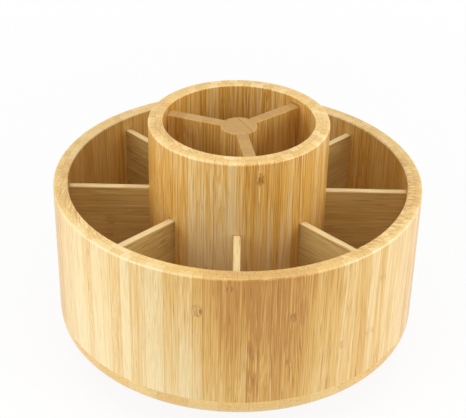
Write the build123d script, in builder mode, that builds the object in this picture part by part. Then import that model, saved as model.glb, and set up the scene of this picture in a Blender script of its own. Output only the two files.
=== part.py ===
"""Rotating bamboo pen holder: two drums with radial dividers on a ball-bearing turntable.

Millimetres, +Z up. The origin is on the table, under the middle of the drum.
"""

import os
from math import atan2, cos, radians, sin, sqrt, tan

from build123d import *

os.makedirs("parts", exist_ok=True)

# Driving dimensions: the drum
drum_radius = 127.0
drum_height = 111.5
drum_wall = 10.0
floor_thickness = 15.0       # the board that the wall stands on
foot_round = 12.7            # round-over of the board's bottom edge
rim_round = 1.5              # outer edge of the drum's rim
inner_edge_round = 1.0       # inner edge of both rims

# Driving dimensions: the inner drum and its post
core_radius = 61.5
core_height = 155.0          # rim above the underside of the drum
core_wall = 10.0
core_rim_round = 2.0
post_radius = 12.5
post_round = 0.8

# Driving dimensions: the dividers
outer_divider_count = 8
outer_divider_thickness = 5.0
outer_divider_drop = 10.5    # top edge below the drum's rim
outer_divider_azimuth = 0.0
inner_divider_count = 3
inner_divider_thickness = 8.0
inner_divider_drop = 5.0     # top edge below the inner drum's rim
inner_divider_azimuth = 40.0
divider_round = 0.8
groove_depth = 3.0           # how deep a divider is housed in a wall
post_groove_depth = 2.5
groove_headroom = 0.6        # open groove above a divider's top edge

# Driving dimensions: the turntable
bearing_height = 8.0         # outside to outside over both plates
plate_side = 102.0
plate_corner = 12.0
plate_thickness = 1.2
plateau_gap = 2.0            # between the raised rings of the two plates
flange_margin = 7.0          # flat flange from the slope to the plate's straight edge
dome_run = 2.0               # radial run of the slope up to the raised ring
ring_land = 2.6              # flat between the ball groove and the slope
bore_land = 5.1              # flat between the ball groove and the upper plate's bore
ball_radius = 2.38
ball_count = 12
cage_thickness = 1.0
cage_width = 9.0
lip_overlap = 2.5            # how far the rolled lip reaches over the upper plate

# Driving dimensions: screws
screw_radius = 1.75
screw_head_radius = 3.5
screw_head_height = 2.2
screw_head_bevel = 1.0       # the pan head's sloped edge
screw_point = 2.0
plate_screw_count = 4
screw_inset = 9.5            # screw centre from the plate's straight edges
lower_screw_length = 8.0
upper_screw_length = 10.0
access_hole_radius = 6.5

# Driving dimensions: the base
base_radius = 88.0
base_thickness = 9.0
base_bevel = 1.5
rubber_foot_count = 4
rubber_foot_azimuth = 45.0
rubber_foot_radius = 8.0
rubber_foot_height = 3.0     # below the base disc
rubber_foot_seat = 1.0       # let into the base disc
rubber_foot_bevel = 1.0
rubber_foot_margin = 6.0     # from the foot to the base disc's edge

# Clearances
glue_gap = 0.05              # round a foot in its recess
groove_gap = 0.1             # round a divider in its groove
race_gap = 0.05              # between a ball and its race
pocket_gap = 0.12            # between a ball and its pocket in the cage
collar_gap = 0.8             # between the collar and the upper plate's bore
lip_gap = 0.3                # between the lip and the upper plate
plate_hole_gap = 0.35        # round a screw in a plate
pilot_gap = 0.03             # round a screw in the wood
pilot_extra = 0.6            # pilot hole below the screw's point
overcut = 2.0                # how far a cutter starts outside the wood

# Levels above the table
base_bottom = rubber_foot_height
base_top = base_bottom + base_thickness
drum_bottom = base_top + bearing_height
bearing_middle = base_top + bearing_height / 2
floor_top = drum_bottom + floor_thickness
drum_rim = drum_bottom + drum_height
core_rim = drum_bottom + core_height
outer_divider_height = drum_rim - outer_divider_drop - floor_top
inner_divider_height = core_rim - inner_divider_drop - floor_top

# Radii that follow from the above
drum_bore = drum_radius - drum_wall
core_bore = core_radius - core_wall
screw_offset = plate_side / 2 - screw_inset
screw_circle = screw_offset * sqrt(2)
foot_circle = base_radius - rubber_foot_margin - rubber_foot_radius
lower_screw_azimuth = 45.0
upper_screw_azimuth = lower_screw_azimuth + 45.0


def section_plane(height):
    """Upright plane through the axis, with its origin on the axis at the given height."""
    return Plane((0, 0, height), x_dir=(1, 0, 0), z_dir=(0, -1, 0))


def turned_outline(radius, height, top_round=0, bottom_round=0):
    """Half section of a solid turned piece, its outer edges rounded over where a radius is given."""
    Rectangle(radius, height, align=(Align.MIN, Align.MIN))
    if top_round > 0:
        fillet(vertices().group_by(Axis.Y)[-1].sort_by(Axis.X)[-1], top_round)
    if bottom_round > 0:
        fillet(vertices().group_by(Axis.Y)[0].sort_by(Axis.X)[-1], bottom_round)


def cut_grooves(count, azimuth, start, depth, thickness, height):
    """Cut radial grooves for a ring of dividers, from the drum's floor up."""
    with BuildSketch(Plane.XY.offset(floor_top)) as grooves:
        with PolarLocations(start, count, start_angle=azimuth):
            Rectangle(depth, thickness + 2 * groove_gap, align=(Align.MIN, Align.CENTER))
    extrude(grooves.sketch, amount=height, mode=Mode.SUBTRACT)


def drill(level, circle, count, azimuth, radius, depth):
    """Drill a ring of round holes from a level; a negative depth drills down."""
    with BuildSketch(Plane.XY.offset(level)) as holes:
        with PolarLocations(circle, count, start_angle=azimuth):
            Circle(radius)
    extrude(holes.sketch, amount=depth, mode=Mode.SUBTRACT)


# Outer drum wall: a turned ring that stands on the floor, grooved inside for the outer dividers
with BuildPart() as outer_drum_wall:
    with BuildSketch(section_plane(floor_top)):
        turned_outline(drum_radius, drum_rim - floor_top, rim_round)
        Rectangle(drum_bore, drum_rim - floor_top, align=(Align.MIN, Align.MIN), mode=Mode.SUBTRACT)
        fillet(vertices().group_by(Axis.Y)[-1].sort_by(Axis.X)[0], inner_edge_round)
    revolve(axis=Axis.Z)
    cut_grooves(
        outer_divider_count,
        outer_divider_azimuth,
        drum_bore - overcut,
        groove_depth + overcut,
        outer_divider_thickness,
        outer_divider_height + groove_headroom,
    )
outer_drum_wall.part.label = "outer_drum_wall"
export_step(outer_drum_wall.part, "parts/outer_drum_wall.step")


# Drum floor: a round board under the whole drum, turned flush with the wall and rounded over below
with BuildPart() as drum_floor:
    with BuildSketch(section_plane(drum_bottom)):
        turned_outline(drum_radius, floor_thickness, bottom_round=foot_round)
    revolve(axis=Axis.Z)
    drill(
        drum_bottom,
        screw_circle,
        plate_screw_count,
        upper_screw_azimuth,
        screw_radius + pilot_gap,
        upper_screw_length - plate_thickness + pilot_extra,
    )
drum_floor.part.label = "drum_floor"
export_step(drum_floor.part, "parts/drum_floor.step")


# Inner drum wall: a taller ring, grooved outside for the outer dividers and inside for the inner ones
with BuildPart() as inner_drum_wall:
    with BuildSketch(section_plane(floor_top)):
        turned_outline(core_radius, core_rim - floor_top, core_rim_round)
        Rectangle(core_bore, core_rim - floor_top, align=(Align.MIN, Align.MIN), mode=Mode.SUBTRACT)
        fillet(vertices().group_by(Axis.Y)[-1].sort_by(Axis.X)[0], inner_edge_round)
    revolve(axis=Axis.Z)
    cut_grooves(
        outer_divider_count,
        outer_divider_azimuth,
        core_radius - groove_depth,
        groove_depth + overcut,
        outer_divider_thickness,
        outer_divider_height + groove_headroom,
    )
    cut_grooves(
        inner_divider_count,
        inner_divider_azimuth,
        core_bore - overcut,
        groove_depth + overcut,
        inner_divider_thickness,
        inner_divider_height + groove_headroom,
    )
inner_drum_wall.part.label = "inner_drum_wall"
export_step(inner_drum_wall.part, "parts/inner_drum_wall.step")


# Hub post: a round post, slotted down its whole length for the inner dividers
with BuildPart() as hub_post:
    with BuildSketch(section_plane(floor_top)):
        turned_outline(post_radius, inner_divider_height, post_round)
    revolve(axis=Axis.Z)
    cut_grooves(
        inner_divider_count,
        inner_divider_azimuth,
        post_radius - post_groove_depth,
        post_groove_depth + overcut,
        inner_divider_thickness,
        inner_divider_height,
    )
hub_post.part.label = "hub_post"
export_step(hub_post.part, "parts/hub_post.step")


def divider_board(azimuth, start, end, thickness, height):
    """One upright board from start to end along a radius, its two long top edges eased."""
    with BuildPart() as board:
        with BuildSketch(Plane.XY.offset(floor_top).rotated((0, 0, azimuth))):
            with Locations((start, 0)):
                Rectangle(end - start, thickness, align=(Align.MIN, Align.CENTER))
        extrude(amount=height)
        top_edges = board.edges().group_by(Axis.Z)[-1]
        fillet(top_edges.sort_by(SortBy.LENGTH)[-2:], divider_round)
    return board.part


# Outer dividers: thin boards between the two drums, housed in both
for number in range(1, outer_divider_count + 1):
    outer_divider = divider_board(
        outer_divider_azimuth + (number - 1) * 360 / outer_divider_count,
        core_radius - groove_depth + groove_gap,
        drum_bore + groove_depth - groove_gap,
        outer_divider_thickness,
        outer_divider_height,
    )
    outer_divider.label = f"outer_divider_{number}"
    export_step(outer_divider, f"parts/outer_divider_{number}.step")


# Inner dividers: thicker boards from the hub post to the inner drum, level with the post
for number in range(1, inner_divider_count + 1):
    inner_divider = divider_board(
        inner_divider_azimuth + (number - 1) * 360 / inner_divider_count,
        post_radius - post_groove_depth + groove_gap,
        core_bore + groove_depth - groove_gap,
        inner_divider_thickness,
        inner_divider_height,
    )
    inner_divider.label = f"inner_divider_{number}"
    export_step(inner_divider, f"parts/inner_divider_{number}.step")


# Section of the turntable's sheet, its heights measured from the bearing's middle plane outwards
face_height = plateau_gap / 2
back_height = face_height + plate_thickness
flange_face = bearing_height / 2 - plate_thickness
flange_back = bearing_height / 2
groove_radius = ball_radius + race_gap
groove_back_radius = groove_radius + plate_thickness
face_half_width = sqrt(groove_radius**2 - face_height**2)
back_half_width = sqrt(groove_back_radius**2 - back_height**2)
slope = atan2(flange_face - face_height, dome_run)
bend_shift = plate_thickness * tan(slope / 2)
dome_radius = plate_side / 2 - flange_margin
ring_edge = dome_radius - dome_run
race_radius = ring_edge - bend_shift - ring_land - back_half_width
upper_bore = race_radius - back_half_width - bore_land
collar_radius = upper_bore - collar_gap - plate_thickness
lip_bottom = back_height + lip_gap
lip_radius = upper_bore + lip_overlap


def race_section(bore, side):
    """Pressed sheet from the bore out to the flange: the raised ring with the ball groove in it.

    side is +1 for the upper plate and -1 for the lower one.
    """
    flange_end = dome_radius + overcut
    with BuildLine() as outline:
        Polyline(
            (race_radius + face_half_width, side * face_height),
            (ring_edge, side * face_height),
            (dome_radius, side * flange_face),
            (flange_end, side * flange_face),
            (flange_end, side * flange_back),
            (dome_radius - bend_shift, side * flange_back),
            (ring_edge - bend_shift, side * back_height),
            (race_radius + back_half_width, side * back_height),
        )
        ThreePointArc(
            (race_radius + back_half_width, side * back_height),
            (race_radius, side * groove_back_radius),
            (race_radius - back_half_width, side * back_height),
        )
        Polyline(
            (race_radius - back_half_width, side * back_height),
            (bore, side * back_height),
            (bore, side * face_height),
            (race_radius - face_half_width, side * face_height),
        )
        ThreePointArc(
            (race_radius - face_half_width, side * face_height),
            (race_radius, side * groove_radius),
            (race_radius + face_half_width, side * face_height),
        )
    make_face(outline.edges())


def square_flange(level, azimuth):
    """Flat square part of a plate, open inside the raised ring, with its four screw holes."""
    with BuildSketch(Plane.XY.offset(level).rotated((0, 0, azimuth))) as flange:
        RectangleRounded(plate_side, plate_side, plate_corner)
        Circle(dome_radius, mode=Mode.SUBTRACT)
        with GridLocations(2 * screw_offset, 2 * screw_offset, 2, 2):
            Circle(screw_radius + plate_hole_gap, mode=Mode.SUBTRACT)
    extrude(flange.sketch, amount=plate_thickness)


# Turntable lower plate: its bore is drawn up into a collar and rolled over the upper plate
with BuildPart() as turntable_lower_plate:
    with BuildSketch(section_plane(bearing_middle)):
        race_section(collar_radius, -1)
        with Locations((collar_radius, -back_height)):
            Rectangle(plate_thickness, back_height + lip_bottom + plate_thickness, align=(Align.MIN, Align.MIN))
        with Locations((collar_radius, lip_bottom)):
            Rectangle(lip_radius - collar_radius, plate_thickness, align=(Align.MIN, Align.MIN))
    revolve(axis=Axis.Z)
    square_flange(base_top, lower_screw_azimuth - 45)
turntable_lower_plate.part.label = "turntable_lower_plate"
export_step(turntable_lower_plate.part, "parts/turntable_lower_plate.step")


# Turntable upper plate: the same pressing turned over, with a plain bore, screwed under the drum floor
with BuildPart() as turntable_upper_plate:
    with BuildSketch(section_plane(bearing_middle)):
        race_section(upper_bore, 1)
    revolve(axis=Axis.Z)
    square_flange(drum_bottom - plate_thickness, upper_screw_azimuth - 45)
turntable_upper_plate.part.label = "turntable_upper_plate"
export_step(turntable_upper_plate.part, "parts/turntable_upper_plate.step")


# Turntable balls: one ring of steel balls
with BuildPart(Plane.XY.offset(bearing_middle)) as turntable_balls:
    with PolarLocations(race_radius, ball_count):
        Sphere(ball_radius)
turntable_balls.part.label = "turntable_balls"
export_step(turntable_balls.part, "parts/turntable_balls.step")


# Turntable ball cage: a flat ring with a pocket for each ball
with BuildPart() as turntable_ball_cage:
    with BuildSketch(Plane.XY.offset(bearing_middle - cage_thickness / 2)):
        Circle(race_radius + cage_width / 2)
        Circle(race_radius - cage_width / 2, mode=Mode.SUBTRACT)
        with PolarLocations(race_radius, ball_count):
            Circle(ball_radius + pocket_gap, mode=Mode.SUBTRACT)
    extrude(amount=cage_thickness)
turntable_ball_cage.part.label = "turntable_ball_cage"
export_step(turntable_ball_cage.part, "parts/turntable_ball_cage.step")


def wood_screw(length):
    """Pan-head screw along +Z, with the underside of its head at zero."""
    with BuildPart() as screw:
        with BuildSketch(Plane.XZ):
            with BuildLine():
                Polyline(
                    (0, -screw_head_height),
                    (screw_head_radius, -screw_head_height),
                    (screw_head_radius, 0),
                    (screw_radius, 0),
                    (screw_radius, length - screw_point),
                    (0, length),
                    close=True,
                )
            make_face()
            chamfer(vertices().group_by(Axis.Y)[0].sort_by(Axis.X)[-1], screw_head_bevel)
        revolve(axis=Axis.Z)
    return screw.part


# Upper plate screws: heads down against the upper plate, points up into the drum floor
upper_screw = wood_screw(upper_screw_length)
with BuildPart(Plane.XY.offset(drum_bottom - plate_thickness)) as upper_plate_screws:
    with PolarLocations(screw_circle, plate_screw_count, start_angle=upper_screw_azimuth):
        add(upper_screw)
upper_plate_screws.part.label = "upper_plate_screws"
export_step(upper_plate_screws.part, "parts/upper_plate_screws.step")


# Lower plate screws: heads up against the lower plate, points down into the base disc
lower_screw = wood_screw(lower_screw_length)
with BuildPart(Plane((0, 0, base_top + plate_thickness), z_dir=(0, 0, -1))) as lower_plate_screws:
    with PolarLocations(screw_circle, plate_screw_count, start_angle=lower_screw_azimuth):
        add(lower_screw)
lower_plate_screws.part.label = "lower_plate_screws"
export_step(lower_plate_screws.part, "parts/lower_plate_screws.step")


# Base disc: stands still under the turntable, with recesses for the feet and one hole through it that
# each upper plate screw can be turned over and reached through
with BuildPart(Plane.XY.offset(base_bottom)) as base_disc:
    Cylinder(base_radius, base_thickness, align=(Align.CENTER, Align.CENTER, Align.MIN))
    chamfer(base_disc.edges().filter_by(GeomType.CIRCLE), base_bevel)
    drill(
        base_top,
        screw_circle,
        plate_screw_count,
        lower_screw_azimuth,
        screw_radius + pilot_gap,
        plate_thickness - lower_screw_length - pilot_extra,
    )
    drill(
        base_bottom,
        foot_circle,
        rubber_foot_count,
        rubber_foot_azimuth,
        rubber_foot_radius + glue_gap,
        rubber_foot_seat,
    )
    drill(base_bottom, screw_circle, 1, upper_screw_azimuth, access_hole_radius, base_thickness)
base_disc.part.label = "base_disc"
export_step(base_disc.part, "parts/base_disc.step")


# Rubber feet: round pads with a bevelled lower edge, glued into their recesses
for number in range(1, rubber_foot_count + 1):
    azimuth = radians(rubber_foot_azimuth + (number - 1) * 360 / rubber_foot_count)
    foot_centre = (foot_circle * cos(azimuth), foot_circle * sin(azimuth), 0)
    with BuildPart(Plane(foot_centre)) as rubber_foot:
        Cylinder(
            rubber_foot_radius,
            rubber_foot_height + rubber_foot_seat,
            align=(Align.CENTER, Align.CENTER, Align.MIN),
        )
        chamfer(rubber_foot.edges().group_by(Axis.Z)[0], rubber_foot_bevel)
    rubber_foot.part.label = f"rubber_foot_{number}"
    export_step(rubber_foot.part, f"parts/rubber_foot_{number}.step")
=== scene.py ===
"""Looks of a rotating bamboo pen holder: varnished drums and dividers on a ball-bearing turntable.

Metres, +Z up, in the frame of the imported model. main() dresses every piece and sets the studio.
"""

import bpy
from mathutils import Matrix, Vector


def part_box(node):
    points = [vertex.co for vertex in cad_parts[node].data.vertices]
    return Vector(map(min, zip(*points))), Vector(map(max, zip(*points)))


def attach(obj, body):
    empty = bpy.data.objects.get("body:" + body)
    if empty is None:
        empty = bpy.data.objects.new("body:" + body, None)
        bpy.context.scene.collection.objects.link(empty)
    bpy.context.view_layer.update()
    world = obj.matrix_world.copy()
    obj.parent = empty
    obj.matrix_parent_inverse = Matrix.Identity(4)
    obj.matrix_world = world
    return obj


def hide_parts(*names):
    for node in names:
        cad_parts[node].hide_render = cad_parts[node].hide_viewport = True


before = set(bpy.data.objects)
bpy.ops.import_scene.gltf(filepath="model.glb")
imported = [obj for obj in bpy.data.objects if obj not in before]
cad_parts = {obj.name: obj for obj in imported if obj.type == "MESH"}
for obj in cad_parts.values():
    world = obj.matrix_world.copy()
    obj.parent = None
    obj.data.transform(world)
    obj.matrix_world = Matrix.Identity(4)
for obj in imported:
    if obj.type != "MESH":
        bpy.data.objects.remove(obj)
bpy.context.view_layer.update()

from math import atan2, cos, pi, radians, sin, tau

import bmesh
import bpy
from mathutils import Matrix, Vector

bl_info = {
    "name": "Rotating pen holder",
    "version": (1, 0, 0),
    "blender": (4, 5, 0),
    "location": "View3D > Sidebar > Pen holder",
    "description": "Dresses a bamboo pen holder and its turntable, and sets a plain studio",
    "category": "Object",
}

MM = 0.001
WHITE = (1, 1, 1, 1)
SMOOTH = {"interpolation_type": "SMOOTHSTEP"}

OUTER_DIVIDERS = sorted(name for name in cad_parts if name.startswith("outer_divider_"))
INNER_DIVIDERS = sorted(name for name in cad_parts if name.startswith("inner_divider_"))
RUBBER_FEET = sorted(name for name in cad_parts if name.startswith("rubber_foot_"))
INNER_DIVIDER_AZIMUTH = radians(40.0)
DRUM_WALL = 10 * MM

# Strips that are riper or paler than the rest, partly their own tone and partly painted light and shade:
# paler on the front sides as a painted sheen where the side lamps fall, deeper at the outer drum's front
# middle and at the inner drum's far left as painted shade, and at the front deeper upward as a painted
# shade of the floor's bounce. Columns: azimuth and half width in degrees, how much deeper at half the
# wall's height, and how much more of it per 100 mm of height
OUTER_DRUM_TONE_AND_LIGHT = (
    (-128, 40, -0.34, 0.12), (-85, 33, 0.15, 0.45), (-84, 16, 0.22, 0.0), (-40, 25, -0.14, 0.0))
INNER_DRUM_TONE_AND_LIGHT = (
    (180, 60, 0.12, 0.0), (-108, 32, -0.18, 0.0), (-70, 24, 0.13, 0.0), (-85, 55, -0.36, 0.6))
# Knuckles that stand out: azimuth in degrees, height and half width in millimetres
OUTER_DRUM_KNUCKLES = ((-100.9, 105.9, 4.0), (-92.0, 124.6, 2.6), (-73.7, 99.9, 3.0), (-57.0, 68.0, 2.6))
INNER_DRUM_KNUCKLES = ((-76.9, 162.6, 3.6),)
# Parts of a rim where the cut fibres show: azimuth and half width in degrees, and how dark they are
OUTER_DRUM_PORES = ((-20, 44, 1.0), (-158, 40, 0.7))
INNER_DRUM_PORES = ((-150, 50, 0.6),)
# Each finish draws its strips from another part of the noise
OUTER_DRUM_SEED, INNER_DRUM_SEED, FLOOR_SEED, BASE_SEED = 3, 8, 41, 43
OUTER_DIVIDER_SEED, INNER_DIVIDER_SEED, POST_SEED = 11, 23, 31

# Pan-head screws, the sizes of the plain ones that they stand for
HEAD_RADIUS, HEAD_HEIGHT, SHANK_RADIUS, POINT = 3.5 * MM, 2.2 * MM, 1.75 * MM, 2.0 * MM
CROWN_RADIUS, RIM_HEIGHT = 2.1 * MM, 0.75 * MM
# Their cross recess: half width and arm at its mouth and at its foot, and the depths of foot and tip
RECESS_MOUTH, RECESS_FOOT = (0.42 * MM, 1.75 * MM), (0.22 * MM, 0.9 * MM)
RECESS_DEPTH, RECESS_TIP = 1.3 * MM, 1.5 * MM

# Softboxes: name, side, and place of the middle; all face the same point
SOFTBOXES = (
    ("left", 0.9, (-1.08, -0.45, 0.5)),
    ("right", 0.9, (1.12, -0.32, 0.5)),
    ("top", 1.1, (0, -0.2, 1.33)),
)
LAMP_AIM = (0, 0, 0.08)


def linear(code):
    """sRGB hex value as a linear RGBA colour."""
    parts = [int(code[place:place + 2], 16) / 255 for place in (1, 3, 5)]
    return [p / 12.92 if p <= 0.04045 else ((p + 0.055) / 1.055) ** 2.4 for p in parts] + [1.0]


def colour_property(name, code, description):
    """A colour that a user can change, given as an sRGB hex value."""
    return bpy.props.FloatVectorProperty(
        name=name, description=description, subtype="COLOR", size=4, min=0, max=1, default=linear(code))


def length_property(name, description, default, low, high):
    """A length that a user can change, given in millimetres."""
    return bpy.props.FloatProperty(
        name=name, description=description, unit="LENGTH",
        default=default * MM, min=low * MM, max=high * MM)


class PenHolderBamboo(bpy.types.PropertyGroup):
    """Colours and grain of the bamboo."""

    pale: colour_property("Pale strip", "#F2DCA8", "Colour of the palest strips")
    honey: colour_property("Honey strip", "#E0B158", "Colour of most strips")
    inner_honey: colour_property("Inner honey strip", "#E3AE4C", "Colour of most strips of the inner drum")
    deep: colour_property("Deep strip", "#BD812B", "Colour of the darkest strips")
    vessel: colour_property("Vessels", "#905C1E", "Colour of the fine dark fibre bundles")
    rim: colour_property("Rim", "#F5D58C", "Colour of varnished end grain")
    inner_rim: colour_property("Inner rim", "#F8DA90", "Colour of the inner drum's end grain")
    sanded: colour_property("Sanded end grain", "#B28C58", "Colour of matt sanded end grain")
    board_pale: colour_property("Thin board, pale", "#E6CB8A", "Colour of a thin board's palest streaks")
    board_honey: colour_property("Thin board", "#CFAD68", "Colour of most of a thin board")
    board_deep: colour_property("Thin board, deep", "#AB8643", "Colour of a thin board's darkest streaks")
    board_edge: colour_property("Thin board's edge", "#EAD19A", "Colour of a thin board's top edge")
    strip_width: length_property("Strip width", "Width of one bamboo strip in a drum wall", 6.6, 2, 30)
    board_strip_width: length_property(
        "Board strip width", "Width of one strip in the floor and base boards", 20, 2, 40)
    fibre_width: length_property("Fibre width", "Width of one visible fibre streak", 0.55, 0.2, 4)
    fibre_length: length_property("Fibre length", "Length of one visible fibre streak", 62, 5, 400)


class PenHolderHardware(bpy.types.PropertyGroup):
    """Colours and sizes of the steel, nylon and rubber."""

    zinc: colour_property("Zinc plate", "#C9CBCC", "Bright zinc on the plates and screws")
    steel: colour_property("Ball steel", "#D4D5D8", "Polished bearing steel")
    nylon: colour_property("Cage nylon", "#E9E5D8", "Natural moulded nylon")
    rubber: colour_property("Foot rubber", "#26262A", "Matt black rubber")
    dust: colour_property("Dust", "#5A5955", "Dust on the rubber")
    thread_pitch: length_property(
        "Thread pitch", "Distance between the turns of a screw's thread", 1.35, 0.3, 4)
    thread_depth: length_property(
        "Thread depth", "Depth of a screw's thread below its outer radius", 0.45, 0.05, 1)


class PenHolderStudio(bpy.types.PropertyGroup):
    """Camera and light."""

    lens: bpy.props.FloatProperty(
        name="Lens", description="Focal length on a 36 mm wide sensor", default=95.62, min=20, max=300)
    distance: bpy.props.FloatProperty(
        name="Distance", description="From the camera to the point it looks at",
        default=0.8715, min=0.2, max=5, unit="LENGTH")
    pitch: bpy.props.FloatProperty(
        name="Pitch", description="How far the camera looks down", default=0.5518, subtype="ANGLE")
    roll: bpy.props.FloatProperty(
        name="Roll", description="Camera's turn about its own axis", default=0.0197, subtype="ANGLE")
    aim: bpy.props.FloatVectorProperty(
        name="Aim", description="Point that the camera looks at",
        default=(-0.00293, 0.0, 0.10358), subtype="TRANSLATION", size=3)
    left_watts: bpy.props.FloatProperty(
        name="Left softbox", description="Power of the left softbox", default=8.15)
    right_watts: bpy.props.FloatProperty(
        name="Right softbox", description="Power of the right softbox", default=8.5)
    top_watts: bpy.props.FloatProperty(
        name="Top softbox", description="Power of the top softbox", default=8.5)
    sky: bpy.props.FloatProperty(
        name="Room light", description="Strength of the light from all round", default=0.32)
    floor: colour_property("Floor", "#F4F4F2", "White paper floor")


def add_node(tree, kind, inputs=None, **settings):
    """Add a node with its settings. An input is a value, a socket, or a node for its first live output."""
    made = tree.nodes.new(kind if kind.startswith("NodeGroup") else "ShaderNode" + kind)
    for name, value in settings.items():
        setattr(made, name, value)
    for name, value in (inputs or {}).items():
        if isinstance(value, bpy.types.Node):
            value = next(output for output in value.outputs if output.enabled)
        if isinstance(value, bpy.types.NodeSocket):
            tree.links.new(value, made.inputs[name])
        else:
            made.inputs[name].default_value = value
    return made


def new_material(name):
    """An empty node material and its tree."""
    material = bpy.data.materials.new(name)
    material.use_nodes = True
    material.node_tree.nodes.clear()
    return material, material.node_tree


def finish_material(tree, shader_inputs, height=None, relief=0.0):
    """Principled surface and output, with a bump where a height is given, its relief in millimetres."""
    if height is not None:
        bump = add_node(tree, "Bump", {"Height": height, "Distance": relief * MM})
        shader_inputs = {**shader_inputs, "Normal": bump}
    shader = add_node(tree, "BsdfPrincipled", shader_inputs)
    add_node(tree, "OutputMaterial", {"Surface": shader})


def place_in_mm(tree):
    """The piece's own coordinates in millimetres, as a vector and its three parts."""
    place = add_node(tree, "TexCoord").outputs["Object"]
    scaled = add_node(tree, "VectorMath", {0: place, "Scale": 1 / MM}, operation="SCALE")
    parts = add_node(tree, "SeparateXYZ", {0: scaled}).outputs
    return scaled, parts["X"], parts["Y"], parts["Z"]


def polar(tree, x, y):
    """Azimuth in radians, and distance from the Z axis."""
    azimuth = add_node(tree, "Math", {0: y, 1: x}, operation="ARCTAN2")
    flat = add_node(tree, "CombineXYZ", {"X": x, "Y": y})
    return azimuth, add_node(tree, "VectorMath", {0: flat}, operation="LENGTH").outputs["Value"]


def strips_across(tree, across, width, offset=0.0):
    """Number of the strip at a place across the grain, and the distance to its nearest glue line."""
    count = add_node(tree, "Math", {0: across, 1: 1 / width, 2: offset}, operation="MULTIPLY_ADD")
    number = add_node(tree, "Math", {0: count}, operation="FLOOR")
    share = add_node(tree, "Math", {0: count, 1: number}, operation="SUBTRACT")
    rest = add_node(tree, "Math", {0: 1.0, 1: share}, operation="SUBTRACT")
    near = add_node(tree, "Math", {0: share, 1: rest}, operation="MINIMUM")
    seam = add_node(tree, "Math", {0: near, 1: width}, operation="MULTIPLY")
    return number, seam


def streaks(tree, place, size, detail=0.0, roughness=0.5):
    """Noise drawn out to streaks of a size given in millimetres, (across, through, along) the grain."""
    drawn = add_node(tree, "VectorMath", {0: place, 1: size}, operation="DIVIDE")
    settings = {"Vector": drawn, "Scale": 1.0, "Detail": detail, "Roughness": roughness}
    return add_node(tree, "TexNoise", settings)


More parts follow.
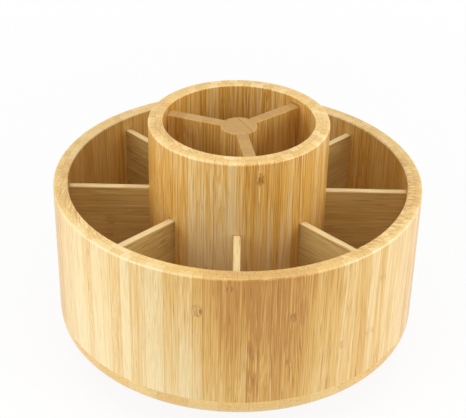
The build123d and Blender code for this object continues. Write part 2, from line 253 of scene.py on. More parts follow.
def bamboo_grain():
    """Node group of bamboo's own figure, shared by every bamboo material.

    Grain is (across, through, along) in millimetres, Strip numbers the strip, Seam is the distance to its
    glue line and End is 1 on end grain. Drift deepens the tone; on the drums it also carries painted light
    and shade. Knuckle is 1 in a chosen knuckle, Pores is how dark the cut fibres of an end are, Bold is how
    much strips and fibres stand out, and Glue how dark the glue lines are. Tone runs from pale to deep,
    Mark is the share of vessels, glue lines, knuckles and cut fibres, and Height is the relief of the
    fibres and of all marks but the cut ones.
    """
    name = "bamboo_grain"
    if name in bpy.data.node_groups:
        return bpy.data.node_groups[name]
    tree = bpy.data.node_groups.new(name, "ShaderNodeTree")
    for in_out, kind, sockets in (
            ("INPUT", "NodeSocketVector", ("Grain", "Strip")),
            ("INPUT", "NodeSocketFloat", ("Seam", "End", "Drift", "Knuckle", "Pores", "Bold", "Glue")),
            ("OUTPUT", "NodeSocketFloat", ("Tone", "Mark", "Height"))):
        for socket in sockets:
            tree.interface.new_socket(socket, in_out=in_out, socket_type=kind)
    given = add_node(tree, "NodeGroupInput").outputs
    bamboo = bpy.context.scene.pen_holder_bamboo
    fibre = bamboo.fibre_width / MM
    length = bamboo.fibre_length / MM

    # Each strip is another piece of culm: its own tone, its own fibres and its own knuckle
    farthest_jump = (370, 530, 910)
    chance = add_node(tree, "TexWhiteNoise", {"Vector": given["Strip"]}).outputs
    lot = add_node(tree, "SeparateColor", {0: chance["Color"]}).outputs
    jump = add_node(tree, "VectorMath", {0: chance["Color"], 1: farthest_jump}, operation="MULTIPLY")
    grain = add_node(tree, "VectorMath", {0: given["Grain"], 1: jump}, operation="ADD")
    along = add_node(tree, "SeparateXYZ", {0: given["Grain"]}).outputs["Z"]

    # Knuckles: once in a spacing of culm, a few millimetres tall and ragged, and bold in few strips
    spacing, knuckle_height, raggedness = 270.0, 3.2, 5.0
    bell_base, rarity, own_share = 0.37, 5.0, 0.5
    start = add_node(tree, "Math", {0: along, 1: 1 / spacing, 2: lot["Green"]}, operation="MULTIPLY_ADD")
    turn = add_node(tree, "Math", {0: start}, operation="FRACT")
    middle = add_node(tree, "Math", {0: turn, 1: 0.5}, operation="SUBTRACT")
    ragged = add_node(tree, "TexNoise", {"Vector": grain, "Scale": 0.55, "Detail": 2.0})
    shift = add_node(tree, "Math", {0: ragged, 1: raggedness / spacing, 2: -raggedness / 2 / spacing},
                     operation="MULTIPLY_ADD")
    away = add_node(tree, "Math", {0: middle, 1: shift}, operation="ADD")
    steps = add_node(tree, "Math", {0: away, 1: spacing / knuckle_height}, operation="MULTIPLY")
    square = add_node(tree, "Math", {0: steps, 1: steps}, operation="MULTIPLY")
    bell = add_node(tree, "Math", {0: bell_base, 1: square}, operation="POWER")
    boldness = add_node(tree, "Math", {0: lot["Blue"], 1: rarity}, operation="POWER")
    own_bell = add_node(tree, "Math", {0: bell, 1: boldness}, operation="MULTIPLY")
    own_knuckle = add_node(tree, "Math", {0: own_bell, 1: own_share}, operation="MULTIPLY")
    knuckle = add_node(tree, "Math", {0: own_knuckle, 1: given["Knuckle"]}, operation="MAXIMUM")

    # Fibres lean a little in each strip, wander along it and bulge round its knuckle
    uprightness, lean_reach, wander_reach, bulge_reach = 3.0, 0.3, 2.4, 1.1
    tilt = add_node(tree, "Math", {0: lot["Red"], 1: 0.5}, operation="SUBTRACT")
    mostly_upright = add_node(tree, "Math", {0: tilt, 1: uprightness}, operation="POWER")
    lean = add_node(tree, "Math", {0: mostly_upright, 1: lean_reach}, operation="MULTIPLY")
    leaning = add_node(tree, "Math", {0: along, 1: lean}, operation="MULTIPLY")
    wander = streaks(tree, grain, (7, 7, 90), 1.0)
    wave = add_node(tree, "Math", {0: wander, 1: wander_reach, 2: leaning}, operation="MULTIPLY_ADD")
    bulge = add_node(tree, "Math", {0: knuckle, 1: bulge_reach, 2: wave}, operation="MULTIPLY_ADD")
    aside = add_node(tree, "CombineXYZ", {"X": bulge, "Y": bulge})
    bent = add_node(tree, "VectorMath", {0: grain, 1: aside}, operation="ADD")
    fine = streaks(tree, bent, (fibre, fibre, length), 2.5, 0.62)
    band = streaks(tree, bent, (2.9, 2.9, 120), 1.5)
    vessel = streaks(tree, bent, (0.66, 0.66, 18))
    torn = streaks(tree, bent, (1.5, 1.5, 7), 1.0)

    # Tone: the strip's own with the drift, which on the drums holds painted light and shade, then its bands
    # and fine fibres, bolder in riper wood
    strip_spread, band_spread, fibre_spread, end_spread, end_calm = 0.28, 0.44, 1.8, 0.8, 0.5
    lottery = add_node(tree, "Math", {0: chance["Value"], 1: strip_spread, 2: -strip_spread / 2},
                       operation="MULTIPLY_ADD")
    own = add_node(tree, "Math", {0: lottery, 1: given["Bold"]}, operation="MULTIPLY")
    usual = add_node(tree, "Math", {0: given["Drift"], 1: 0.5}, operation="ADD")
    drifted_tone = add_node(tree, "Math", {0: own, 1: usual}, operation="ADD")
    ripe = add_node(tree, "MapRange", {"Value": drifted_tone, "To Min": 0.4, "To Max": 1.6})
    banded = add_node(tree, "Math", {0: band, 1: band_spread, 2: -band_spread / 2},
                      operation="MULTIPLY_ADD")
    lined = add_node(tree, "Math", {0: fine, 1: fibre_spread, 2: -fibre_spread / 2},
                     operation="MULTIPLY_ADD")
    figure = add_node(tree, "Math", {0: banded, 1: lined}, operation="ADD")
    calm = add_node(tree, "Math", {0: given["End"], 1: -end_calm, 2: 1.0}, operation="MULTIPLY_ADD")
    shown = add_node(tree, "Math", {0: calm, 1: ripe}, operation="MULTIPLY")
    strength = add_node(tree, "Math", {0: shown, 1: given["Bold"]}, operation="MULTIPLY")
    figured = add_node(tree, "Math", {0: figure, 1: strength, 2: drifted_tone}, operation="MULTIPLY_ADD")
    blocks = add_node(tree, "Math", {0: own, 1: given["End"]}, operation="MULTIPLY")
    blocked = add_node(tree, "Math", {0: blocks, 1: end_spread, 2: figured}, operation="MULTIPLY_ADD")
    cut = add_node(tree, "Math", {0: given["Pores"], 1: given["End"]}, operation="MULTIPLY")
    tone = add_node(tree, "Math", {0: blocked, 1: cut}, operation="ADD", use_clamp=True)

    # Marks: vessels along the grain, a hairline of glue, the knuckle's torn rim and an end's cut fibres
    vessel_share, end_boost, cut_share = 0.42, 0.30, 0.35
    vessels = add_node(tree, "MapRange", {"Value": vessel, "From Min": 0.60, "From Max": 0.80}, **SMOOTH)
    glue = add_node(tree, "MapRange", {"Value": given["Seam"], "From Min": 0.05, "From Max": 0.4,
                                       "To Min": given["Glue"], "To Max": 0.0}, **SMOOTH)
    glue_chance = add_node(tree, "Math", {0: glue, 1: lot["Red"]}, operation="MULTIPLY")
    faint = add_node(tree, "Math", {0: vessels, 1: vessel_share}, operation="MULTIPLY")
    boost = add_node(tree, "Math", {0: given["End"], 1: end_boost, 2: 1.0}, operation="MULTIPLY_ADD")
    fibre_marks = add_node(tree, "Math", {0: faint, 1: boost}, operation="MULTIPLY")
    ripe_marks = add_node(tree, "Math", {0: fibre_marks, 1: ripe}, operation="MULTIPLY")
    broken = add_node(tree, "MapRange", {"Value": torn, "From Min": 0.38, "From Max": 0.62, "To Min": 0.15})
    dark_knuckle = add_node(tree, "Math", {0: knuckle, 1: broken}, operation="MULTIPLY")
    wood_mark = add_node(tree, "Math", {0: ripe_marks, 1: dark_knuckle}, operation="ADD")
    deep_mark = add_node(tree, "Math", {0: wood_mark, 1: glue_chance}, operation="ADD")
    mark = add_node(tree, "Math", {0: cut, 1: cut_share, 2: deep_mark}, operation="MULTIPLY_ADD",
                    use_clamp=True)
    relief = add_node(tree, "Math", {0: fine, 1: deep_mark}, operation="SUBTRACT")
    add_node(tree, "NodeGroupOutput", {"Tone": tone, "Mark": mark, "Height": relief})
    return tree


def bamboo_surface(tree, grain, strip, seam, end, drift, finish, knuckle=0.0, pores=0.0):
    """Bamboo's colour, relief and varnish from its grain.

    finish names the three tones, the end grain's colour and its share, how bold the fibres and glue lines
    are, the roughness, the coat and the relief in millimetres.
    """
    duller_in_marks = 0.18
    figure = add_node(tree, "Group", {
        "Grain": grain, "Strip": strip, "Seam": seam, "End": end, "Drift": drift, "Knuckle": knuckle,
        "Pores": pores, "Bold": finish["bold"], "Glue": finish["glue"]}, node_tree=bamboo_grain()).outputs
    ramp = add_node(tree, "ValToRGB", {"Fac": figure["Tone"]})
    stops = ramp.color_ramp.elements
    stops[0].color, stops[1].color = finish["pale"], finish["deep"]
    stops.new(0.5).color = finish["honey"]
    cut = add_node(tree, "Math", {0: end, 1: finish["end_share"]}, operation="MULTIPLY")
    wood = add_node(tree, "Mix", {0: cut, 6: ramp, 7: finish["end_colour"]}, data_type="RGBA")
    vessel = bpy.context.scene.pen_holder_bamboo.vessel
    colour = add_node(tree, "Mix", {0: figure["Mark"], 6: wood.outputs[2], 7: vessel}, data_type="RGBA")
    dull = add_node(tree, "Math", {0: figure["Mark"], 1: duller_in_marks, 2: finish["roughness"]},
                    operation="MULTIPLY_ADD")
    finish_material(tree, {"Base Color": colour.outputs[2], "Roughness": dull, "IOR": 1.5,
                           "Coat Weight": finish["coat"], "Coat Roughness": finish["coat_roughness"]},
                    figure["Height"], finish["relief"])


def end_grain(tree, part="Z", start=0.72):
    """1 on faces that look along the grain's axis, such as a rim, and 0 on faces that run along it."""
    normal = add_node(tree, "TexCoord").outputs["Normal"]
    toward = add_node(tree, "SeparateXYZ", {0: normal}).outputs[part]
    share = add_node(tree, "Math", {0: toward}, operation="ABSOLUTE")
    return add_node(tree, "MapRange", {"Value": share, "From Min": start, "From Max": 0.95}, **SMOOTH)


def bamboo_finish(**changes):
    """What every bamboo finish has in common."""
    bamboo = bpy.context.scene.pen_holder_bamboo
    return {"pale": bamboo.pale, "honey": bamboo.honey, "deep": bamboo.deep, "glue": 0.34, **changes}


def varnished(**changes):
    """Turned bamboo under satin varnish: warm, with a soft broad sheen."""
    return bamboo_finish(**{
        "end_colour": bpy.context.scene.pen_holder_bamboo.rim, "end_share": 0.45, "bold": 0.95,
        "roughness": 0.42, "coat": 0.35, "coat_roughness": 0.22, "relief": 0.02, **changes})


def sanded(**changes):
    """Sanded bamboo without varnish: greyer, and matt."""
    return bamboo_finish(**{
        "end_colour": bpy.context.scene.pen_holder_bamboo.sanded, "end_share": 0.75, "bold": 1.0,
        "roughness": 0.62, "coat": 0.0, "coat_roughness": 0.3, "relief": 0.03, **changes})


def lobe(tree, azimuth, middle, half_width, level, base):
    """A base value plus a level that falls off on both sides of a middle azimuth, given in degrees."""
    turned = add_node(tree, "Math", {0: azimuth, 1: -radians(middle)}, operation="ADD")
    facing = add_node(tree, "Math", {0: turned}, operation="COSINE")
    edge = cos(radians(half_width))
    part = add_node(tree, "MapRange", {"Value": facing, "From Min": edge, "To Max": level}, **SMOOTH)
    return add_node(tree, "Math", {0: part, 1: base}, operation="ADD")


def tone_and_light_drift(tree, strip_azimuth, above, lobes):
    """How much deeper than usual each strip is; above is the height over the wall's middle in 100 mm.

    The lobes lay painted light and shade over the strips' own tone. Faces that slope upward, such as a
    rim's round-over, come out paler: a painted highlight, on wood that is sanded a little more there. Faces
    that slope downward, such as the round-over at the drum's foot, come out deeper: a painted shade.
    """
    # Painted highlight on faces that slope upward and painted shade on faces that slope downward
    painted_slope_light = -1.2
    normal = add_node(tree, "TexCoord").outputs["Normal"]
    upward = add_node(tree, "SeparateXYZ", {0: normal}).outputs["Z"]
    sideward = add_node(tree, "Math", {0: 1.0, 1: upward}, operation="SUBTRACT")
    bevel = add_node(tree, "Math", {0: upward, 1: sideward}, operation="MULTIPLY")
    drift = add_node(tree, "Math", {0: bevel, 1: painted_slope_light}, operation="MULTIPLY")
    for middle, half_width, amount, rise in lobes:
        level = add_node(tree, "Math", {0: above, 1: rise, 2: amount}, operation="MULTIPLY_ADD")
        drift = lobe(tree, strip_azimuth, middle, half_width, level, drift)
    return drift


def cut_fibres(tree, azimuth, radius, depth, lobes):
    """Dark dashes of cut fibres on a rim, stronger toward the bore, in the parts that the lobes give."""
    dash_size = (2, 6, 1)
    arc = add_node(tree, "Math", {0: azimuth, 1: radius}, operation="MULTIPLY")
    place = add_node(tree, "CombineXYZ", {"X": arc, "Y": depth})
    noise = streaks(tree, place, dash_size, 1.5)
    dashes = add_node(tree, "MapRange", {"Value": noise, "From Min": 0.46, "From Max": 0.68})
    inward = add_node(tree, "MapRange", {"Value": depth, "From Min": 1.5, "From Max": 7.0}, **SMOOTH)
    shown = add_node(tree, "Math", {0: dashes, 1: inward}, operation="MULTIPLY")
    rough = 0.0
    for middle, half_width, amount in lobes:
        rough = lobe(tree, azimuth, middle, half_width, amount, rough)
    return add_node(tree, "Math", {0: shown, 1: rough}, operation="MULTIPLY")


def chosen_knuckles(tree, place, radius, knuckles):
    """1 in the middle of each knuckle, given by azimuth in degrees, height and half width in mm."""
    height_to_width = 1.3
    strongest = 0.0
    for azimuth, height, half_width in knuckles:
        centre = (radius * cos(radians(azimuth)), radius * sin(radians(azimuth)), height)
        half_size = (half_width, half_width, half_width * height_to_width)
        off = add_node(tree, "VectorMath", {0: place, 1: centre}, operation="SUBTRACT")
        squashed = add_node(tree, "VectorMath", {0: off, 1: half_size}, operation="DIVIDE")
        away = add_node(tree, "VectorMath", {0: squashed}, operation="LENGTH").outputs["Value"]
        core = add_node(tree, "MapRange", {"Value": away, "From Min": 0.3, "From Max": 1.2,
                                           "To Min": 1.0, "To Max": 0.0}, **SMOOTH)
        strongest = add_node(tree, "Math", {0: core, 1: strongest}, operation="MAXIMUM")
    return strongest


def stave_bamboo(name, node_name, seed, finish, lobes, knuckles, pores):
    """Turned drum wall of upright strips in two rings, the joints of one ring over the strips of the other.

    The eye sees upright strips 5 to 8 mm wide, each of its own tone under painted light and shade, and
    brick joints on the rim.
    """
    material, tree = new_material(name)
    low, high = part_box(node_name)
    outer_radius = high.x
    place, x, y, z = place_in_mm(tree)
    azimuth, radius = polar(tree, x, y)
    per_100_mm = 0.01
    above = add_node(tree, "Math", {0: z, 1: per_100_mm, 2: -per_100_mm * (low.z + high.z) / 2 / MM},
                     operation="MULTIPLY_ADD")
    ring_skin = 0.5
    ring_depth = (DRUM_WALL / MM + 2 * ring_skin) / 2
    depth = add_node(tree, "Math", {0: outer_radius / MM + ring_skin, 1: radius}, operation="SUBTRACT")
    ring, ring_seam = strips_across(tree, depth, ring_depth)

    # Strips vary in width, so their count goes round the drum unevenly
    strip_width = bpy.context.scene.pen_holder_bamboo.strip_width
    strip_count = round(tau * outer_radius / strip_width)
    unevenness = 0.017
    waves = 0.0
    for waves_round, start in ((7.0, 1.3), (17.0, 0.4)):
        phase = add_node(tree, "Math", {0: azimuth, 1: waves_round, 2: start + seed},
                         operation="MULTIPLY_ADD")
        wave = add_node(tree, "Math", {0: phase}, operation="SINE")
        waves = add_node(tree, "Math", {0: wave, 1: waves}, operation="ADD")
    steady = add_node(tree, "Math", {0: azimuth, 1: strip_count / tau}, operation="MULTIPLY")
    uneven = add_node(tree, "Math", {0: waves, 1: strip_count / tau * unevenness, 2: steady},
                      operation="MULTIPLY_ADD")
    lapped = add_node(tree, "Math", {0: ring, 1: 0.5, 2: uneven}, operation="MULTIPLY_ADD")
    arc = add_node(tree, "Math", {0: lapped, 1: strip_width / MM}, operation="MULTIPLY")
    number, side_seam = strips_across(tree, arc, strip_width / MM)
    strip = add_node(tree, "CombineXYZ", {"X": number, "Y": ring, "Z": seed})
    strip_azimuth = add_node(tree, "Math", {0: number, 1: tau / strip_count, 2: pi / strip_count},
                             operation="MULTIPLY_ADD")

    # The glue between the rings shows on the rim only
    end = end_grain(tree)
    out_of_sight = 50.0
    far = add_node(tree, "Math", {0: ring_seam, 1: out_of_sight}, operation="ADD")
    ring_seam_on_end = add_node(tree, "Mix", {0: end, 2: far, 3: ring_seam}, data_type="FLOAT")
    seam = add_node(tree, "Math", {0: side_seam, 1: ring_seam_on_end}, operation="MINIMUM")

    # The drift lays painted light and shade over each strip's own tone
    bamboo_surface(tree, place, strip, seam, end, tone_and_light_drift(tree, strip_azimuth, above, lobes), finish,
                   chosen_knuckles(tree, place, outer_radius / MM, knuckles),
                   cut_fibres(tree, azimuth, radius, depth, pores))
    return material


def board_bamboo(name, seed, finish, drift=0.0):
    """Flat board of strips laid side by side along Y: straight fine lines on top, pores on its two ends."""
    material, tree = new_material(name)
    place, x, y, z = place_in_mm(tree)
    strip_width = bpy.context.scene.pen_holder_bamboo.board_strip_width / MM
    number, seam = strips_across(tree, x, strip_width, offset=0.5)
    grain = add_node(tree, "CombineXYZ", {"X": x, "Y": z, "Z": y})
    strip = add_node(tree, "CombineXYZ", {"X": number, "Z": seed})
    bamboo_surface(tree, grain, strip, seam, end_grain(tree, "Y", 0.45), drift, finish)
    return material


def divider_place(tree, first_azimuth, count):
    """Number of the divider in a ring of dividers, place along it and through its thickness, and height."""
    place, x, y, z = place_in_mm(tree)
    azimuth, radius = polar(tree, x, y)
    steps = add_node(tree, "Math", {0: azimuth, 1: count / tau, 2: -first_azimuth * count / tau},
                     operation="MULTIPLY_ADD")
    number = add_node(tree, "Math", {0: steps}, operation="ROUND")
    rest = add_node(tree, "Math", {0: steps, 1: number}, operation="SUBTRACT")
    off = add_node(tree, "Math", {0: rest, 1: tau / count}, operation="MULTIPLY")
    cosine = add_node(tree, "Math", {0: off}, operation="COSINE")
    sine = add_node(tree, "Math", {0: off}, operation="SINE")
    along = add_node(tree, "Math", {0: radius, 1: cosine}, operation="MULTIPLY")
    through = add_node(tree, "Math", {0: radius, 1: sine}, operation="MULTIPLY")
    return number, along, through, z


def outer_divider_bamboo():
    """Thin sanded board, grain along its length: a pale smooth top edge and long level streaks below."""
    material, tree = new_material("sanded_bamboo_thin_board")
    number, along, through, z = divider_place(tree, 0.0, len(OUTER_DIVIDERS))
    layer_height, layer_offset = 21.0, 0.31
    layer, seam = strips_across(tree, z, layer_height, layer_offset)
    grain = add_node(tree, "CombineXYZ", {"X": z, "Y": through, "Z": along})
    strip = add_node(tree, "CombineXYZ", {"X": layer, "Y": number, "Z": OUTER_DIVIDER_SEED})
    bamboo = bpy.context.scene.pen_holder_bamboo
    finish = sanded(pale=bamboo.board_pale, honey=bamboo.board_honey, deep=bamboo.board_deep,
                    end_colour=bamboo.board_edge, end_share=0.92, roughness=0.55)
    bamboo_surface(tree, grain, strip, seam, end_grain(tree), drift=-0.05, finish=finish)
    return material


def inner_divider_bamboo():
    """Thicker sanded board, upright grain: upright streaks on its faces and matt tan end grain on top."""
    material, tree = new_material("sanded_bamboo_upright_board")
    number, along, through, z = divider_place(tree, INNER_DIVIDER_AZIMUTH, len(INNER_DIVIDERS))
    strip_width = 6.5
    column, seam = strips_across(tree, along, strip_width)
    grain = add_node(tree, "CombineXYZ", {"X": along, "Y": through, "Z": z})
    strip = add_node(tree, "CombineXYZ", {"X": column, "Y": number, "Z": INNER_DIVIDER_SEED})
    bamboo_surface(tree, grain, strip, seam, end_grain(tree), drift=0.1, finish=sanded())
    return material


def post_bamboo():
    """Turned sanded post, upright grain: matt tan top with one glue line beside the middle."""
    material, tree = new_material("sanded_bamboo_post")
    place, x, y, z = place_in_mm(tree)
    seam_azimuth, seam_offset, strip_width = radians(28.0), 4.3, 20.0
    part_x = add_node(tree, "Math", {0: x, 1: cos(seam_azimuth)}, operation="MULTIPLY")
    across = add_node(tree, "Math", {0: y, 1: sin(seam_azimuth), 2: part_x}, operation="MULTIPLY_ADD")
    number, seam = strips_across(tree, across, strip_width, offset=1 - seam_offset / strip_width)
    strip = add_node(tree, "CombineXYZ", {"X": number, "Z": POST_SEED})
    bamboo_surface(tree, place, strip, seam, end_grain(tree), drift=0.1, finish=sanded(glue=2.5))
    return material


def mottled(tree, part, shade_noise, gloss_noise, darkest, rough):
    """A part's colour, which one noise darkens to a share of itself, and a roughness that another moves."""
    colour = getattr(bpy.context.scene.pen_holder_hardware, part)
    shade = add_node(tree, "MapRange", {"Value": shade_noise, "To Min": darkest})
    tinted = add_node(tree, "Mix", {0: 1.0, 6: colour, 7: shade}, data_type="RGBA", blend_type="MULTIPLY")
    gloss = add_node(tree, "MapRange", {"Value": gloss_noise, "To Min": rough[0], "To Max": rough[1]})
    return {"Base Color": tinted.outputs[2], "Roughness": gloss}


def zinc_plated_steel():
    """Pressed steel sheet, bright zinc plated: soft mirror with a faint spangle and a blue-grey cast."""
    material, tree = new_material("zinc_plated_pressed_steel")
    place = place_in_mm(tree)[0]
    spangle = add_node(tree, "TexNoise", {"Vector": place, "Scale": 0.35, "Detail": 3.0})
    scuff = add_node(tree, "TexNoise", {"Vector": place, "Scale": 2.2, "Detail": 4.0, "Roughness": 0.7})
    look = mottled(tree, "zinc", scuff, spangle, darkest=0.82, rough=(0.24, 0.44))
    finish_material(tree, {**look, "Metallic": 1.0}, scuff, relief=0.01)
    return material


def zinc_plated_screw_steel():
    """Cold-headed screw, zinc plated and passivated: brighter than the plates, with tumbling marks."""
    material, tree = new_material("zinc_plated_screw_steel")
    tumbled = add_node(tree, "TexNoise", {"Vector": place_in_mm(tree)[0], "Scale": 3.0, "Detail": 3.0})
    look = mottled(tree, "zinc", tumbled, tumbled, darkest=0.85, rough=(0.2, 0.38))
    finish_material(tree, {**look, "Metallic": 1.0}, tumbled, relief=0.008)
    return material


def bearing_steel():
    """Ground and polished ball steel: a clear mirror with a faint haze."""
    material, tree = new_material("polished_bearing_steel")
    haze = add_node(tree, "TexNoise", {"Vector": place_in_mm(tree)[0], "Scale": 1.5, "Detail": 3.0})
    look = mottled(tree, "steel", haze, haze, darkest=0.9, rough=(0.06, 0.16))
    finish_material(tree, {**look, "Metallic": 1.0})
    return material


def moulded_nylon():
    """Natural moulded nylon: milky, with the mould's faint orange peel."""
    material, tree = new_material("moulded_natural_nylon")
    peel = add_node(tree, "TexNoise", {"Vector": place_in_mm(tree)[0], "Scale": 1.8, "Detail": 2.0})
    look = mottled(tree, "nylon", peel, peel, darkest=0.9, rough=(0.38, 0.5))
    milky = {"IOR": 1.53, "Subsurface Weight": 0.15, "Subsurface Scale": 1 * MM}
    finish_material(tree, {**look, **milky}, peel, relief=0.015)
    return material


def moulded_rubber():
    """Moulded black rubber: dull, with a fine stipple and a little dust."""
    material, tree = new_material("moulded_black_rubber")
    hardware = bpy.context.scene.pen_holder_hardware
    place = place_in_mm(tree)[0]
    stipple = add_node(tree, "TexVoronoi", {"Vector": place, "Scale": 1.6})
    dust = add_node(tree, "TexNoise", {"Vector": place, "Scale": 0.4, "Detail": 3.0})
    grey = add_node(tree, "MapRange", {"Value": dust, "From Min": 0.4, "From Max": 0.8, "To Max": 0.25})
    colour = add_node(tree, "Mix", {0: grey, 6: hardware.rubber, 7: hardware.dust}, data_type="RGBA")
    rough = add_node(tree, "MapRange", {"Value": dust, "To Min": 0.7, "To Max": 0.88})
    finish_material(tree, {"Base Color": colour.outputs[2], "Roughness": rough, "IOR": 1.52},
                    stipple.outputs["Distance"], relief=0.06)
    return material


def dress(node_names, material):
    """Give CAD nodes their finish."""
    for name in node_names:
        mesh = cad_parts[name].data
        mesh.materials.clear()
        mesh.materials.append(material)


def new_piece(name, material, body, stands_for):
    """An empty mesh piece that rides on a body and stands for CAD nodes."""
    piece = bpy.data.objects.new(name, bpy.data.meshes.new(name))
    bpy.context.scene.collection.objects.link(piece)
    piece.data.materials.append(material)
    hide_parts(*stands_for)
    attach(piece, body)
    return piece


def separate_solids(node_name):
    """Lowest and highest corners of each loose solid in a CAD node."""
    shape = bmesh.new()
    shape.from_mesh(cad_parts[node_name].data)
    bmesh.ops.remove_doubles(shape, verts=shape.verts, dist=0.002 * MM)
    boxes = []
    unseen = set(shape.verts)
    while unseen:
        edge_of_search = [unseen.pop()]
        solid = list(edge_of_search)
        while edge_of_search:
            vertex = edge_of_search.pop()
            for edge in vertex.link_edges:
                other = edge.other_vert(vertex)
                if other in unseen:
                    unseen.remove(other)
                    edge_of_search.append(other)
                    solid.append(other)
        low = Vector([min(v.co[axis] for v in solid) for axis in range(3)])
        high = Vector([max(v.co[axis] for v in solid) for axis in range(3)])
        boxes.append((low, high))
    shape.free()
    return sorted(boxes, key=lambda box: atan2(box[0].y + box[1].y, box[0].x + box[1].x))


def ring_of_points(shape, radius, height, count):
    """One ring of vertices about the Z axis; radius is a number or a function of the angle."""
    ring = []
    for step in range(count):
        angle = tau * step / count
        reach = radius(angle) if callable(radius) else radius
        ring.append(shape.verts.new((reach * cos(angle), reach * sin(angle), height)))
    return ring


def join_rings(shape, lower, upper):
    """Quads between two rings of equal count."""
    for step in range(len(lower)):
        after = (step + 1) % len(lower)
        shape.faces.new((lower[step], lower[after], upper[after], upper[step]))


def close_ring(shape, ring, height):
    """Fan of triangles from a ring to a point on the axis."""
    tip = shape.verts.new((0, 0, height))
    for step in range(len(ring)):
        shape.faces.new((ring[step], ring[(step + 1) % len(ring)], tip))


def cross_reach(half_width, arm):
    """Distance from the axis to the edge of a cross-shaped recess, as a function of the angle."""
    def reach(angle):
        turned = abs((angle + pi / 4) % (pi / 2) - pi / 4)
        along = arm / cos(turned)
        beside = half_width / max(sin(turned), 1e-6)
        return min(along, beside) if turned < pi / 4 else half_width / sin(pi / 4)
    return reach


def pan_head_screw(shape, length, pitch, depth):
    """Pan-head wood screw along +Z, the underside of its head at zero: a domed head with a cross recess, a
    real helical thread and a point. Its outer sizes are those of the plain solid that it stands for."""
    around = 32
    dome_angles = [radians(angle) for angle in range(0, 90, 15)]
    dome = [(CROWN_RADIUS + (HEAD_RADIUS - CROWN_RADIUS) * cos(angle),
             -RIM_HEIGHT - (HEAD_HEIGHT - RIM_HEIGHT) * sin(angle)) for angle in dome_angles]
    profile = [(SHANK_RADIUS, 0.0), (HEAD_RADIUS, 0.0), *dome, (CROWN_RADIUS, -HEAD_HEIGHT),
               (cross_reach(*RECESS_MOUTH), -HEAD_HEIGHT),
               (cross_reach(*RECESS_FOOT), RECESS_DEPTH - HEAD_HEIGHT)]
    rings = [ring_of_points(shape, radius, height, around) for radius, height in profile]
    for outer, inner in zip(rings, rings[1:]):
        join_rings(shape, outer, inner)
    close_ring(shape, rings[-1], RECESS_TIP - HEAD_HEIGHT)

    rows_in_a_turn, crest_half_width = 8, 0.32
    rows = round(length / pitch * rows_in_a_turn)
    below = rings[0]
    for row in range(1, rows):
        height = length * row / rows
        taper = min(1.0, (length - height) / POINT)

        def thread(angle, height=height, taper=taper):
            phase = (height / pitch - angle / tau) % 1.0
            crest = max(0.0, 1 - abs(phase - 0.5) / crest_half_width)
            runout = min(1.0, height / pitch)
            return taper * (SHANK_RADIUS - depth + depth * crest * runout + depth * (1 - runout))

        ring = ring_of_points(shape, thread, height, around)
        join_rings(shape, ring, below)
        below = ring
    close_ring(shape, below[::-1], length)


def set_of_screws(name, node_name, body, heads_up, material):
    """Detailed screws at the place of each plain one in a CAD node."""
    hardware = bpy.context.scene.pen_holder_hardware
    piece = new_piece(name, material, body, [node_name])
    first_turn, turn_between = 20, 67
    whole = bmesh.new()
    for number, (low, high) in enumerate(separate_solids(node_name)):
        single = bmesh.new()
        pan_head_screw(single, high.z - low.z - HEAD_HEIGHT, hardware.thread_pitch, hardware.thread_depth)
        bmesh.ops.recalc_face_normals(single, faces=single.faces)
        turn = Matrix.Rotation(radians(first_turn + turn_between * number), 4, "Z")
        seat = high.z - HEAD_HEIGHT if heads_up else low.z + HEAD_HEIGHT
        over = Matrix.Rotation(pi, 4, "X") if heads_up else Matrix.Identity(4)
        place = Matrix.Translation(((low.x + high.x) / 2, (low.y + high.y) / 2, seat))
        single.transform(place @ over @ turn)
        copy = bpy.data.meshes.new("single_screw")
        single.to_mesh(copy)
        whole.from_mesh(copy)
        bpy.data.meshes.remove(copy)
        single.free()
    whole.to_mesh(piece.data)
    whole.free()
    for face in piece.data.polygons:
        face.use_smooth = True
    piece.data.set_sharp_from_angle(angle=radians(40))


class PENHOLDER_OT_outer_drum(bpy.types.Operator):
    """Varnished strips on the outer drum's wall"""

    bl_idname = "penholder.outer_drum"
    bl_label = "Outer drum"

    def execute(self, context):
        dress(["outer_drum_wall"], stave_bamboo(
            "varnished_bamboo_outer_drum", "outer_drum_wall", OUTER_DRUM_SEED, varnished(),
            OUTER_DRUM_TONE_AND_LIGHT, OUTER_DRUM_KNUCKLES, OUTER_DRUM_PORES))
        return {"FINISHED"}


class PENHOLDER_OT_inner_drum(bpy.types.Operator):
    """Varnished strips on the inner drum's wall"""

    bl_idname = "penholder.inner_drum"
    bl_label = "Inner drum"

    def execute(self, context):
        bamboo = context.scene.pen_holder_bamboo
        finish = varnished(coat=0.3, bold=1.2, honey=bamboo.inner_honey, end_colour=bamboo.inner_rim)
        dress(["inner_drum_wall"], stave_bamboo(
            "varnished_bamboo_inner_drum", "inner_drum_wall", INNER_DRUM_SEED, finish,
            INNER_DRUM_TONE_AND_LIGHT, INNER_DRUM_KNUCKLES, INNER_DRUM_PORES))
        return {"FINISHED"}


class PENHOLDER_OT_boards(bpy.types.Operator):
    """Boards of the drum's floor and of the base"""

    bl_idname = "penholder.boards"
    bl_label = "Floor and base boards"

    def execute(self, context):
        floor = board_bamboo("varnished_bamboo_floor_board", FLOOR_SEED, varnished(), drift=-0.08)
        dress(["drum_floor"], floor)
        dress(["base_disc"], board_bamboo("sanded_bamboo_base_board", BASE_SEED, sanded()))
        return {"FINISHED"}


class PENHOLDER_OT_dividers(bpy.types.Operator):
    """Grain on the dividers and the hub post"""

    bl_idname = "penholder.dividers"
    bl_label = "Dividers and post"

    def execute(self, context):
        dress(OUTER_DIVIDERS, outer_divider_bamboo())
        dress(INNER_DIVIDERS, inner_divider_bamboo())
        dress(["hub_post"], post_bamboo())
        return {"FINISHED"}


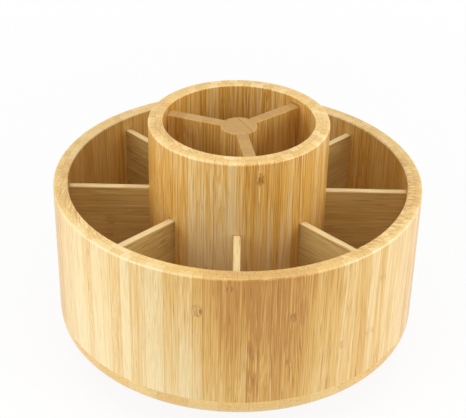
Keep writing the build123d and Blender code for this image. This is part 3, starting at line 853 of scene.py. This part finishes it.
class PENHOLDER_OT_turntable(bpy.types.Operator):
    """Steel plates, balls and nylon cage of the turntable"""

    bl_idname = "penholder.turntable"
    bl_label = "Turntable"

    def execute(self, context):
        dress(["turntable_upper_plate", "turntable_lower_plate"], zinc_plated_steel())
        dress(["turntable_balls"], bearing_steel())
        dress(["turntable_ball_cage"], moulded_nylon())
        return {"FINISHED"}


class PENHOLDER_OT_screws(bpy.types.Operator):
    """Pan-head screws with a cross recess and a thread"""

    bl_idname = "penholder.screws"
    bl_label = "Screws"

    def execute(self, context):
        material = zinc_plated_screw_steel()
        set_of_screws("upper_pan_head_screws", "upper_plate_screws", "drum", False, material)
        set_of_screws("lower_pan_head_screws", "lower_plate_screws", "base", True, material)
        return {"FINISHED"}


class PENHOLDER_OT_feet(bpy.types.Operator):
    """Rubber on the feet"""

    bl_idname = "penholder.feet"
    bl_label = "Rubber feet"

    def execute(self, context):
        dress(RUBBER_FEET, moulded_rubber())
        return {"FINISHED"}


def softbox(name, watts, side, place):
    """Square soft lamp at a place, facing the holder."""
    lamp = bpy.data.lights.new(name, "AREA")
    lamp.energy = watts
    lamp.size = side
    holder = bpy.data.objects.new(name, lamp)
    bpy.context.scene.collection.objects.link(holder)
    holder.location = place
    holder.rotation_euler = (Vector(LAMP_AIM) - Vector(place)).to_track_quat("-Z", "Y").to_euler()


def seen_directly(tree):
    """1 for rays that show the background itself: from the camera, in gloss or through glass."""
    path = add_node(tree, "LightPath").outputs
    either = add_node(tree, "Math", {0: path["Is Camera Ray"], 1: path["Is Glossy Ray"]},
                      operation="MAXIMUM")
    return add_node(tree, "Math", {0: either, 1: path["Is Transmission Ray"]}, operation="MAXIMUM")


class PENHOLDER_OT_studio(bpy.types.Operator):
    """White floor, soft lamps and the camera"""

    bl_idname = "penholder.studio"
    bl_label = "Studio"

    def execute(self, context):
        studio = context.scene.pen_holder_studio
        self.make_floor(context, studio)
        self.make_light(context, studio)
        self.make_camera(context, studio)
        context.scene.view_settings.view_transform = "Standard"
        return {"FINISHED"}

    def make_floor(self, context, studio):
        """White paper that keeps the holder's shadow and is pure white farther away."""
        material, tree = new_material("white_paper_sweep")
        paper = add_node(tree, "BsdfPrincipled", {"Base Color": studio.floor, "Roughness": 0.9})
        plain = add_node(tree, "Emission", {"Color": WHITE, "Strength": 1.0})
        place = add_node(tree, "TexCoord").outputs["Object"]
        away = add_node(tree, "VectorMath", {0: place}, operation="LENGTH").outputs["Value"]
        share = add_node(tree, "MapRange", {"Value": away, "From Min": 0.2, "From Max": 0.8, "To Min": 0.9},
                         **SMOOTH)
        lift = add_node(tree, "Math", {0: seen_directly(tree), 1: share}, operation="MULTIPLY")
        mixed = add_node(tree, "MixShader", {0: lift, 1: paper, 2: plain})
        add_node(tree, "OutputMaterial", {"Surface": mixed})
        half = 4.0
        mesh = bpy.data.meshes.new("paper_floor")
        mesh.from_pydata([(-half, -half, 0), (half, -half, 0), (half, half, 0), (-half, half, 0)], [],
                         [(0, 1, 2, 3)])
        mesh.materials.append(material)
        floor = bpy.data.objects.new("paper_floor", mesh)
        context.scene.collection.objects.link(floor)

    def make_light(self, context, studio):
        """Even room light that shows as white, and the softboxes."""
        world = bpy.data.worlds.new("white_room")
        context.scene.world = world
        world.use_nodes = True
        tree = world.node_tree
        tree.nodes.clear()
        room = add_node(tree, "Background", {"Color": WHITE, "Strength": studio.sky})
        white = add_node(tree, "Background", {"Color": WHITE, "Strength": 1.0})
        mixed = add_node(tree, "MixShader", {0: seen_directly(tree), 1: room, 2: white})
        add_node(tree, "OutputWorld", {"Surface": mixed})
        for name, side, place in SOFTBOXES:
            softbox(f"{name}_softbox", getattr(studio, f"{name}_watts"), side, place)

    def make_camera(self, context, studio):
        """The photograph's camera: looking along +Y and down, with a slight roll."""
        camera_data = bpy.data.cameras.new("photo_camera")
        camera_data.lens = studio.lens
        camera_data.sensor_width = 36.0
        camera = bpy.data.objects.new("photo_camera", camera_data)
        context.scene.collection.objects.link(camera)
        back = Vector((0, -cos(studio.pitch), sin(studio.pitch)))
        right = Vector((1, 0, 0))
        up = back.cross(right)
        rolled_right = right * cos(studio.roll) + up * sin(studio.roll)
        rolled_up = up * cos(studio.roll) - right * sin(studio.roll)
        turn = Matrix((rolled_right, rolled_up, back)).transposed().to_4x4()
        camera.matrix_world = Matrix.Translation(Vector(studio.aim) + back * studio.distance) @ turn
        context.scene.camera = camera


class PENHOLDER_PT_sidebar(bpy.types.Panel):
    """Pen holder's steps and settings"""

    bl_label = "Pen holder"
    bl_idname = "PENHOLDER_PT_sidebar"
    bl_space_type = "VIEW_3D"
    bl_region_type = "UI"
    bl_category = "Pen holder"

    def draw(self, context):
        for step in STEPS:
            self.layout.operator(step.bl_idname)
        for group in GROUPS:
            box = self.layout.box()
            settings = getattr(context.scene, group)
            for name in settings.bl_rna.properties.keys():
                if name not in ("rna_type", "name"):
                    box.prop(settings, name)


STEPS = (
    PENHOLDER_OT_outer_drum,
    PENHOLDER_OT_inner_drum,
    PENHOLDER_OT_boards,
    PENHOLDER_OT_dividers,
    PENHOLDER_OT_turntable,
    PENHOLDER_OT_screws,
    PENHOLDER_OT_feet,
    PENHOLDER_OT_studio,
)
GROUPS = {
    "pen_holder_bamboo": PenHolderBamboo,
    "pen_holder_hardware": PenHolderHardware,
    "pen_holder_studio": PenHolderStudio,
}


def register():
    """Register the settings, the steps and the panel."""
    for name, group in GROUPS.items():
        bpy.utils.register_class(group)
        setattr(bpy.types.Scene, name, bpy.props.PointerProperty(type=group))
    for step in STEPS:
        bpy.utils.register_class(step)
    bpy.utils.register_class(PENHOLDER_PT_sidebar)


def unregister():
    """Take them off again."""
    bpy.utils.unregister_class(PENHOLDER_PT_sidebar)
    for step in reversed(STEPS):
        bpy.utils.unregister_class(step)
    for name, group in GROUPS.items():
        delattr(bpy.types.Scene, name)
        bpy.utils.unregister_class(group)


def main():
    """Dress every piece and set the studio."""
    register()
    for step in STEPS:
        area, action = step.bl_idname.split(".")
        if getattr(getattr(bpy.ops, area), action)() != {"FINISHED"}:
            raise RuntimeError(f"{step.bl_label} did not finish")


if __name__ == "__main__":
    main()
